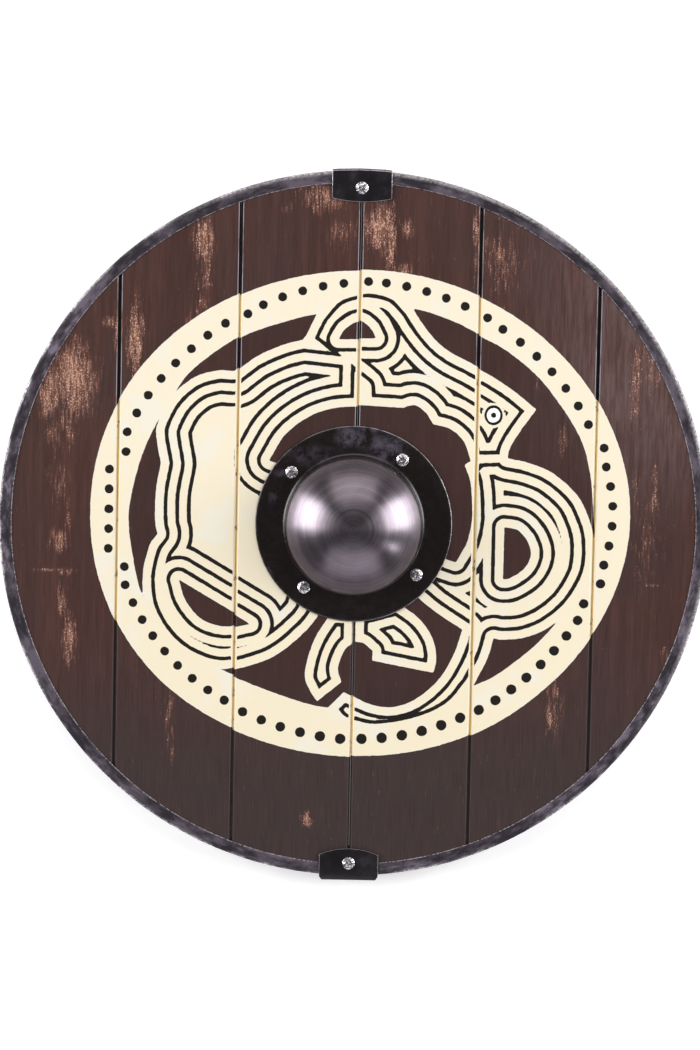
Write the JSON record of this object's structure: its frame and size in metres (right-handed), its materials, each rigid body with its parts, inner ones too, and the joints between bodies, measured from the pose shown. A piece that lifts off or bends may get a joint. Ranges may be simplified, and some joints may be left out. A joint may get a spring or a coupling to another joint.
{
  "type": "wooden round shield",
  "caption": "Round shield of upright boards with a painted ribbon beast in a dotted ring, a folded steel rim, a domed boss over the hand hole and a wooden grip across the back.",
  "frame": {"origin": "middle of the grip bar's flat underside, which the shield lies on", "axes": "+Z out of the shield's face through the boss, +Y to the top of the painted design, +X to its right"},
  "size_m": [0.61, 0.6147, 0.0753],
  "materials": {
    "painted_boards": "dark brown stained boards with cream and black paint, worn through in streaks along the grain",
    "rim_steel": "dark hammered steel strip with lighter worn bends",
    "clip_steel": "gloss black over sheet steel, worn bright at the edges",
    "boss_steel": "spun and polished dark steel dome on a gloss black flange",
    "rivet_metal": "bright blind rivets with a little rust in the mandrel holes",
    "grip_wood": "brown stained wood, rubbed smooth where the hand holds it"
  },
  "bodies": {
    "root": {"board_1": "painted_boards", "board_2": "painted_boards", "board_3": "painted_boards", "board_4": "painted_boards", "board_5": "painted_boards", "board_6": "painted_boards", "rim_left": "rim_steel", "rim_right": "rim_steel", "top_clip": "clip_steel", "bottom_clip": "clip_steel", "boss": "boss_steel", "boss_rivet_1": "rivet_metal", "boss_rivet_2": "rivet_metal", "boss_rivet_3": "rivet_metal", "boss_rivet_4": "rivet_metal", "top_clip_rivet": "rivet_metal", "bottom_clip_rivet": "rivet_metal", "grip_bar": "grip_wood"}
  },
  "joints": []
}
